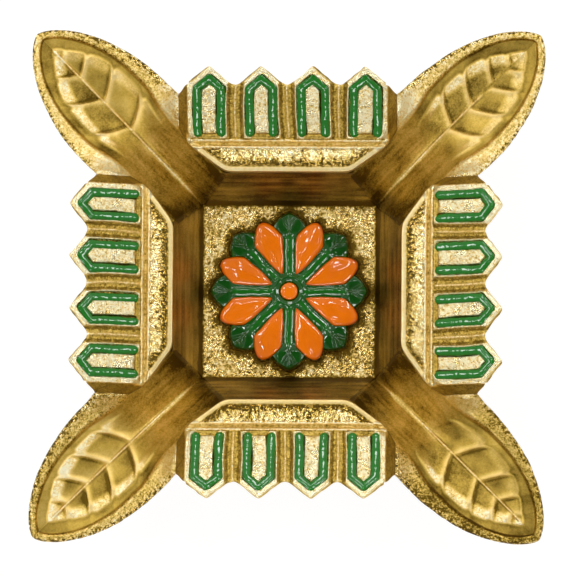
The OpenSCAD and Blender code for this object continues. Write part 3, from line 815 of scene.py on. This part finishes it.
def crest_finish(own_tone, y, p, inward, outline, ends, grit, tone):
    """Where the shoulder is, and the grit and tone with the shoulder, lip, foot and plain ends added."""
    shoulder, lip = fade(-1.75, -1.45, p), fade(0.72, 0.92, inward)
    lines = np.maximum(bell(y, RIDGE_IN_Y, 0.28), bell(y, RIDGE_OUT_Y, 0.28)) * fade(0, 0.3, p) * (p < 0.5)
    grit = np.maximum(grit, 1.1 * shoulder * ease(0.8, 1.05, inward))
    grit = np.maximum(grit, 0.5 * fade(-0.1, 0.3, p))
    grit = np.maximum(grit * (1 - 0.8 * lip), 0.7 * lines)
    grit = grit * (1 - ends) + END_GRIT * ends
    tone = np.where(p > -0.1, tone, 0.5)
    # painted light and shade of the shoulder, set for each side, and half of it on the lip
    tone = tone * (1 - shoulder) + own_tone * shoulder
    tone += shoulder * (1 - lip) * (0.5 * bell(inward, 1.4, 0.7) - 0.16 * ease(2.0, 3.2, inward))
    tone = tone * (1 - lip) + (LIP_TONE + 0.5 * (own_tone - LIP_SHOULDER)) * lip
    tone = tone - 0.42 * lines + 0.15 * bell(y, DIP_Y, 0.3)
    # painted shade on the plain ends
    tone = tone * (1 - ends) + END_SHADE * ends
    return shoulder, grit, tone - 0.12 * bell(outline, 0.3, 0.3) * (1 - ends)


def crest(side, degrees):
    seed = 70 + SIDES.index(side)
    x = np.linspace(-CREST_END, CREST_END, CREST_COLUMNS)
    nose, slant, length = crest_plan(x)
    tip_y = FOOT_Y + (length - 0.09 * (1 + noise(spot(x, 0, 0), 0.8, seed))) * math.cos(TILT)
    bottom = under_z(nose + 0.13) - 1.6 * ease(11.3, 12.5, abs(x))

    # rows of the top, from the foot of the nose to the gables
    turn = np.linspace(0, 1, NOSE_ROWS)[:, None]
    nose_share = np.minimum(NOSE_R, 0.8 * (base_z(x, nose) - bottom)) / NOSE_R
    nose_in = nose_share * np.interp(turn, NOSE_TURN, NOSE_IN)
    nose_y = nose + nose_in * slant
    run_y = nose_y[-1] + (tip_y - nose_y[-1]) * PANEL_ROWS[:, None]
    y = np.concatenate([nose_y, run_y])
    z = base_z(x, y)
    z[:NOSE_ROWS] -= nose_share * np.interp(turn, NOSE_TURN, NOSE_DROP)
    p = (y - FOOT_Y) / math.cos(TILT)
    warp = 0.28 * noise(spot(x, p, 0), 6.0, seed + 3)
    h, grit, tone = panel_relief(np.where(abs(x) < CREST_HALF - 0.8, x + warp, x), p)
    ends = ease(CREST_HALF - 0.1, CREST_HALF + 0.25, abs(x))
    on_panel = ease(-0.1, 0.3, p) * (1 - ends)
    outline = (length - p) * 0.8
    inward = np.concatenate([nose_in, nose_in[-1] + (run_y - nose_y[-1]) / slant])
    h *= on_panel
    top_y = y - h * math.sin(TILT) * ease(0, 0.8, outline)
    top_z = z + h * math.cos(TILT) - 0.3 * fade(0, 0.45, outline) ** 1.5
    top = turned(spot(x, top_y, top_z), degrees)
    shoulder, grit, tone = crest_finish(SHOULDERS[side], y, p, inward, outline, ends, grit * on_panel, tone)

    # cast grain, and runs down the shoulder
    bumps = grain(top)
    drip = noise(spot(x, y / 1.7, 0), 0.34, seed + 9)
    free = ease(0.02, 0.5, outline) * ease(CREST_END, CREST_END - 0.4, abs(x))
    free[:NOSE_ROWS] *= ease(0.1, 0.4, turn)
    lift = (0.09 * grit * bumps + 0.05 * shoulder * drip * grit) * free - 0.03
    top -= normals(top) * lift[..., None]
    # the grain's hollows are darker: tarnish there, and painted shade between the grains
    tone = tone - 0.75 * grit * bumps - 0.22 * shoulder * drip * grit

    # the wall under the nose, before the top; the gabled edge and the underside, after it
    up = np.linspace(0, 1, 7)[:-1, None]
    front_y, front_z = nose + 0.13 * (1 - up), bottom + (top_z[0] - bottom) * up
    down = np.array([0.12, 0.5, 0.88, 1.0])[:, None]
    edge_y = top_y[-1] - 0.12 * bell(down, 1, 0.2)
    edge_z = top_z[-1] + (under_z(tip_y) - top_z[-1]) * down
    under_y = edge_y[-1] + (front_y[0] - edge_y[-1]) * np.linspace(0, 1, 18)[1:-1, None]
    front, edge, under = (
        turned(spot(x, *rows), degrees)
        for rows in ((front_y, front_z), (edge_y, edge_z), (under_y, under_z(under_y)))
    )
    rings = np.concatenate([front, top, edge, under]).transpose(1, 0, 2)
    plain = (len(front), len(edge) + len(under)), (0, 0)
    add_piece(
        "crest_cast_" + side, rings, tube(rings), "cast_brass", ["crest_" + side], flat=(-1, -2),
        grit=np.pad(grit, plain, constant_values=((0.5, 0.7), (0, 0))).T,
        tone=np.pad(tone, plain, constant_values=((0.62, 0.45), (0, 0))).T,
    )


for k, side in enumerate(SIDES):
    crest(side, -90 * k)


# ---------------------------------------------------------------- enamel arches
ARCH_STEP = 0.16
BEAD_H, BEAD_COLUMNS = 0.19, 15  # above the arch's frame; over the bead, from side to side
BEAD_KEEL = 9  # the column above its lowest line


def arch_line():
    """Points along the middle of a pointed arch, and at each the direction across it."""
    bends = np.array([
        [-ENAMEL_LEG, ENAMEL_FOOT], [-ENAMEL_LEG, ENAMEL_BEND], [0, ENAMEL_TIP],
        [ENAMEL_LEG, ENAMEL_BEND], [ENAMEL_LEG, ENAMEL_FOOT],
    ])
    path, across = [], []
    for a, b in zip(bends, bends[1:]):
        along = (b - a) / np.linalg.norm(b - a)
        for t in np.linspace(0, 1, int(np.linalg.norm(b - a) / ARCH_STEP), endpoint=False):
            path.append(a + (b - a) * t)
            across.append([-along[1], along[0]])
    return smoothed(path + [bends[-1]], 2), smoothed(across + across[-1:], 2)


def enamel_arch(side, i, degrees):
    """A bead of enamel laid along the pointed arch, a little uneven in width, height and ends."""
    seed = 200 + 10 * SIDES.index(side) + i
    path, across = arch_line()
    length = np.append(0, np.cumsum(np.linalg.norm(np.diff(path, axis=0), axis=1)))
    miter = 1 / np.maximum(0.7, np.linalg.norm(across, axis=1)) ** 2
    half = INLAY_STROKE / 2
    end = np.minimum(np.minimum(length, length[-1] - length), half)
    taper = np.sqrt(np.clip(1 - ((half - end) / half) ** 2, 0.02, 1))
    line = spot(length, 0, 0)
    width = half * taper * (1 + 0.09 * noise(line, 1.3, seed) + 0.05 * noise(line, 0.5, seed + 1))
    drift = 0.1 * noise(line, 2.4, seed + 2)
    crown = ARCH_H + BEAD_H + 0.025 * noise(line, 1.6, seed + 3)
    around = np.linspace(0, math.pi, BEAD_COLUMNS)
    rise = np.sin(around) ** 0.75
    off = drift[:, None] + np.cos(around) * width[:, None]
    low = ARCH_H - INLAY_T + 0.06
    h = low + rise * (crown[:, None] - low) * (0.35 + 0.65 * taper[:, None])
    h += rise * 0.03 * noise(spot(length[:, None], off, 0), 0.42, seed + 4)
    lane = path[:, None] + across[:, None] * (off * miter[:, None])[..., None]
    x, p = np.moveaxis(np.concatenate([lane, lane[:, BEAD_KEEL:BEAD_KEEL + 1]], 1), -1, 0)
    h = np.pad(h, ((0, 0), (0, 1)), constant_values=low - 0.02)
    y = FOOT_Y + p * math.cos(TILT) - h * math.sin(TILT)
    z = FOOT_Z + p * math.sin(TILT) + h * math.cos(TILT)
    rings = turned(spot(x + ARCH_X[i - 1], y, z), degrees)
    thin = np.broadcast_to(np.append(0.9 * (1 - rise) ** 1.5, 1), rings.shape[:2])
    add_piece(
        f"enamel_arch_{side}_{i}", rings, tube(rings), "green_enamel", [f"lancet_inlay_{side}_{i}"], tone=thin,
    )


for k, side in enumerate(SIDES):
    for i in range(1, 5):
        enamel_arch(side, i, -90 * k)


# ---------------------------------------------------------------- rosette
ROSETTE_RINGS, ROSETTE_SPOKES = 118, 768
# Rings under the rosette: their share of its outline, and their height
ROSETTE_BASE = ((1.0, 0.18), (0.995, 0.0), (0.6, 0.0), (0.02, 0.0))
RIB_HALF, RIB_H, DIAGONAL_RIB_H = 0.74, 0.25, 0.21
DOME_H, TIP_VEIN_H, COLLAR_H, SEAT_H, EDGE_FALL = 0.45, 0.24, 0.35, 0.45, 0.55
ENAMEL_GAP = 0.03
PETAL_POINTS = 49  # along each side of a petal
# Rings of a drop of enamel, as shares of its outline: under it, with their height, and over it
DROP_UNDER = ((0.5, 0.0), (0.98, 0.0), (1.0, 0.12))
DROP_OVER = np.concatenate([np.linspace(1, 0.8, 9), np.linspace(0.8, 0.03, 16)[1:]])


def petal_half(t):
    """Half the width of a petal at share t of its length."""
    t = np.clip(t, 0, 1)
    root, tip = (t / PETAL_PEAK) ** 0.76, ((1 - t) / (1 - PETAL_PEAK)) ** 0.5
    return PETAL_HALF * np.maximum(0, smooth_min(root, tip, 0.06))


def rosette_relief(r, a):
    """Height over the pad and tone of the green ground at radius r and angle a."""
    k = np.round(a / PETAL_STEP)
    along, across = r * np.cos(a - k * PETAL_STEP), r * np.sin(a - k * PETAL_STEP)
    side = abs(across)
    from_petal = a % PETAL_STEP - PETAL_STEP / 2
    t = (r * np.cos(from_petal) - PETAL_IN) / (PETAL_OUT - PETAL_IN)
    seat = ease(0, 0.3, petal_half(t) - abs(r * np.sin(from_petal))) * (t > 0.02)
    wander = 0.14 * noise(spot(along, 4 * k, 0), 1.7, 301)
    rib = smooth_max(1 - ((across + wander) / RIB_HALF) ** 2, 0, 0.06) * ease(2.2, 3.4, r) * fade(9.4, 10.8, along)
    rib_h = np.where(k % 2 == 0, RIB_H, DIAGONAL_RIB_H)
    dome = ease(9.2, 11.0, along) * ease(-0.1, 1.3, (2.9 - side) * ease(8.6, 11.6, along) + 0.2)
    vein = bell(across, 0, 0.16) * ease(10, 11, along) * fade(13, 13.8, along)
    for start in (0.75, 1.5):
        branch = bell(side - (along - 10.2 - start) * 0.62, 0, 0.14)
        vein = np.maximum(vein, branch * ease(0.1, 0.4, side) * fade(1.7, 2.3, side) * ease(9.6, 10.4, along))
    pit = fade(DOT_R - 0.1, DOT_R + 0.25, r)
    edge = rosette_reach(a) - r
    h = ROSETTE_T - 0.1 + rib_h * rib + DOME_H * dome + TIP_VEIN_H * vein + COLLAR_H * bell(r, 2.5, 0.55)
    h = h * (1 - seat) + SEAT_H * seat
    h = h * (1 - pit) + SEAT_H * pit
    h -= EDGE_FALL * fade(0, 0.55, edge) ** 1.6
    place = spot(r * np.cos(a), r * np.sin(a), 0)
    h += 0.03 * noise(place, 0.9, 303) + 0.06 * noise(place, 1.8, 304)
    return h, 0.75 + 0.1 * dome - 0.45 * rib + 0.4 * fade(0, 0.7, edge)


def rosette_green():
    spokes = np.linspace(-math.pi, math.pi, ROSETTE_SPOKES, endpoint=False)
    q, a = np.meshgrid(np.linspace(0.004, 1, ROSETTE_RINGS), spokes, indexing="ij")
    r = q * (rosette_reach(a) - 0.06)
    h, tone = rosette_relief(r, a)
    top = spot(r * np.cos(a), r * np.sin(a), ROSETTE_Z + h)
    base = [top[-1] * [share, share, 0] + [0, 0, ROSETTE_Z + z - 0.02] for share, z in ROSETTE_BASE]
    rings = np.concatenate([top, base])
    at = numbered(*rings.shape[:2])
    add_piece(
        "rosette_green_enamel", rings, quads(at, flip=True) + [at[0].tolist(), at[-1, ::-1].tolist()],
        "green_enamel", ["rosette_green"], tone=np.pad(tone, ((0, len(base)), (0, 0)), constant_values=1),
    )


def drop(name, cad_node, outline, middle, top_of, degrees, tones):
    """A domed drop of enamel: rings from under it out to its outline, and over it in to its middle."""
    def scaled(share):
        return middle + (outline - middle) * share

    under = [spot(*scaled(share).T, ENAMEL_LOW + z) for share, z in DROP_UNDER]
    over = [spot(*scaled(share).T, top_of(scaled(share), share)) for share in DROP_OVER]
    rings = turned(np.array(under + over), degrees)
    tone = np.append(np.ones(len(under)), tones)
    add_piece(name, rings, tube(rings), "orange_enamel", [cad_node], tone=np.repeat(tone, len(outline)))


def orange_petal(i):
    seed = 400 + 7 * i
    side = np.repeat([-1.0, 1.0], [PETAL_POINTS, PETAL_POINTS - 2])
    t = np.linspace(0, 1, PETAL_POINTS)
    t = (1 - np.cos(np.append(t, np.linspace(1, 0, PETAL_POINTS)[1:-1]) * math.pi)) / 2
    x = PETAL_IN + ENAMEL_GAP + (PETAL_OUT - PETAL_IN - 2 * ENAMEL_GAP) * t
    path = spot(x, 3 * side, 0)
    grow = 1 + 0.055 * noise(path, 2.6, seed) + 0.02 * noise(path, 0.8, seed + 1)
    y = side * (petal_half(t) - 0.02) * np.minimum(1.02, grow)
    middle = np.array([PETAL_IN + 0.62 * (PETAL_OUT - PETAL_IN), 0])

    def top_of(xy, share):
        at = spot(*xy.T, 5 * i)
        dome = math.sqrt(max(0, 1 - max(0, (share - 0.25) / 0.75) ** 2.6))
        wave = 0.13 * noise(at, 2.2, seed + 2) + 0.15 * noise(at * [0.3, 1, 1], 1.0, seed + 3)
        return PETAL_Z + PETAL_SEAT - 0.15 + (PETAL_H + 0.02) * dome + wave * ease(0, 0.4, 1 - share)

    drop(
        f"orange_petal_enamel_{i}", f"orange_petal_{i}", np.stack([x, y], -1), middle, top_of,
        45 * (i - 1) + 22.5, 0.85 * ease(0.82, 1, DROP_OVER) + 0.1,
    )


def centre_dot():
    a = np.linspace(0, 2 * math.pi, 72, endpoint=False)
    r = DOT_R - ENAMEL_GAP - 0.05 * (1 + np.sin(3 * a + 1)) / 2
    outline = np.stack([np.cos(a), np.sin(a)], -1) * r[:, None]

    def top_of(xy, share):
        wave = 0.05 * noise(spot(*xy.T, 0), 0.9, 500)
        dome = math.sqrt(max(0, 1 - share * share))
        return PETAL_Z + PETAL_SEAT + (PETAL_H - 0.1) * dome + wave * (1 - share) - 0.05

    drop("centre_dot_enamel", "centre_dot", outline, np.zeros(2), top_of, 0, 0.6 * ease(0.8, 1, DROP_OVER))


rosette_green()
for i in range(1, 9):
    orange_petal(i)
centre_dot()


# ---------------------------------------------------------------- floor, light and camera
STAGE_HALF_M, STAGE_Z = 3.0, -0.05
FLOOR_PAINT, FLOOR_GLOW, GLOW_SHARE = 0.86, 1.08, 0.85
# Brightness of the light tent by height, from level (0) to straight above (1), and how much more it is northward
TENT = ((0.0, 0.3), (0.2, 0.5), (0.45, 0.56), (0.7, 0.52), (0.86, 0.36), (0.95, 0.18), (0.99, 0.08))
NORTHWARD = 0.35
SOFT_BOX_M = 0.9  # from the lamp
# Azimuth from north, elevation, width and height in metres, and watts
SOFT_BOXES = {
    "soft_box_north_east": (40, 52, 0.1, 0.1, 0.85),
    "soft_box_south_east": (132, 50, 0.1, 0.1, 0.6),
    "soft_box_south_west": (-138, 50, 0.1, 0.1, 0.6),
    "soft_box_north_west": (-48, 54, 0.1, 0.1, 0.8),
    "strip_north": (2, 72, 0.1, 0.05, 0.36),
    "strip_west": (-90, 70, 0.1, 0.05, 0.36),
    "spark_south": (182, 40, 0.24, 0.12, 1.1),
    "spark_north": (-2, 31, 0.24, 0.12, 1.1),
    "spark_west": (-84, 34, 0.24, 0.12, 1.1),
    "spark_east": (84, 37, 0.24, 0.12, 1.1),
}
# The photograph's camera
VIEW_TARGET, VIEW_M = (0.041, -0.071, 12), 1.5
VIEW_AZIMUTH, VIEW_ELEVATION, VIEW_ROLL = -20.261, 84.892, -19.965
FOCAL_PX, PHOTO_PX, SENSOR_MM = 8399.2, 576, 36


def pale_floor():
    """Pale to the light, evenly bright to the eye, and clear from below, so that the lamp's base can be seen."""
    mat, tree = new_material("pale_floor")
    paint = node(tree, "ShaderNodeBsdfDiffuse", {"Color": (FLOOR_PAINT,) * 3 + (1,)})
    glow = node(tree, "ShaderNodeEmission", {"Color": (1, 1, 1, 1), "Strength": FLOOR_GLOW})
    rays = node(tree, "ShaderNodeLightPath").outputs
    seen = math_node(tree, "MAXIMUM", rays["Is Camera Ray"], rays["Is Glossy Ray"])
    seen = math_node(tree, "MAXIMUM", seen, rays["Is Transmission Ray"])
    share = math_node(tree, "MULTIPLY", seen, GLOW_SHARE)
    above = node(tree, "ShaderNodeMixShader", {0: share, 1: paint.outputs[0], 2: glow.outputs[0]})
    below = node(tree, "ShaderNodeNewGeometry").outputs["Backfacing"]
    clear = node(tree, "ShaderNodeBsdfTransparent")
    either = node(tree, "ShaderNodeMixShader", {0: below, 1: above.outputs[0], 2: clear.outputs[0]})
    node(tree, "ShaderNodeOutputMaterial", {0: either.outputs[0]})
    return mat


def stage_floor():
    mesh = bpy.data.meshes.new("studio_floor")
    half, z = STAGE_HALF_M, STAGE_Z * MM
    mesh.from_pydata([(-half, -half, z), (half, -half, z), (half, half, z), (-half, half, z)], [], [(0, 1, 2, 3)])
    mesh.materials.append(pale_floor())
    floor = placed("studio_floor", mesh)


def world_light():
    """A light tent: bright all round at a slant, and dimmer straight above, where its opening is."""
    world = bpy.data.worlds.new("light_tent")
    bpy.context.scene.world = world
    world.use_nodes = True
    tree = world.node_tree
    tree.nodes.clear()
    place = node(tree, "ShaderNodeTexCoord").outputs["Generated"]
    split = node(tree, "ShaderNodeSeparateXYZ", {0: place})
    level = ramp(tree, split.outputs["Z"], [(height, (bright,) * 3) for height, bright in TENT])
    north = math_node(tree, "ADD", math_node(tree, "MULTIPLY", split.outputs["Y"], NORTHWARD), 1.0)
    back = node(tree, "ShaderNodeBackground", {"Color": level, "Strength": north})
    node(tree, "ShaderNodeOutputWorld", {0: back.outputs[0]})


def soft_box(name, azimuth, elevation, width, height, power):
    lamp = bpy.data.lights.new(name, "AREA")
    lamp.shape = "RECTANGLE"
    lamp.size, lamp.size_y = width, height
    lamp.energy = power
    obj = placed(name, lamp)
    a, e = math.radians(azimuth), math.radians(elevation)
    back = Vector((math.sin(a) * math.cos(e), math.cos(a) * math.cos(e), math.sin(e)))
    obj.location = back * SOFT_BOX_M
    obj.rotation_mode = "QUATERNION"
    obj.rotation_quaternion = back.to_track_quat("Z", "Y")


def camera():
    a, e, roll = math.radians(VIEW_AZIMUTH), math.radians(VIEW_ELEVATION), math.radians(VIEW_ROLL)
    forward = Vector((math.sin(a) * math.cos(e), math.cos(a) * math.cos(e), -math.sin(e)))
    level_up = Vector((math.sin(a) * math.sin(e), math.cos(a) * math.sin(e), math.cos(e)))
    level_right = forward.cross(level_up)
    right = level_right * math.cos(roll) + level_up * math.sin(roll)
    up = level_up * math.cos(roll) - level_right * math.sin(roll)
    cam = bpy.data.cameras.new("photo_camera")
    cam.sensor_width = SENSOR_MM
    cam.lens = FOCAL_PX / PHOTO_PX * SENSOR_MM
    cam.clip_start, cam.clip_end = 0.1, 20
    obj = placed("photo_camera", cam)
    turn = Matrix((right, up, -forward)).transposed()
    obj.matrix_world = Matrix.Translation(Vector(VIEW_TARGET) * MM - forward * VIEW_M) @ turn.to_4x4()
    bpy.context.scene.camera = obj


stage_floor()
world_light()
for name, settings in SOFT_BOXES.items():
    soft_box(name, *settings)
camera()
bpy.context.scene.view_settings.view_transform = "Standard"
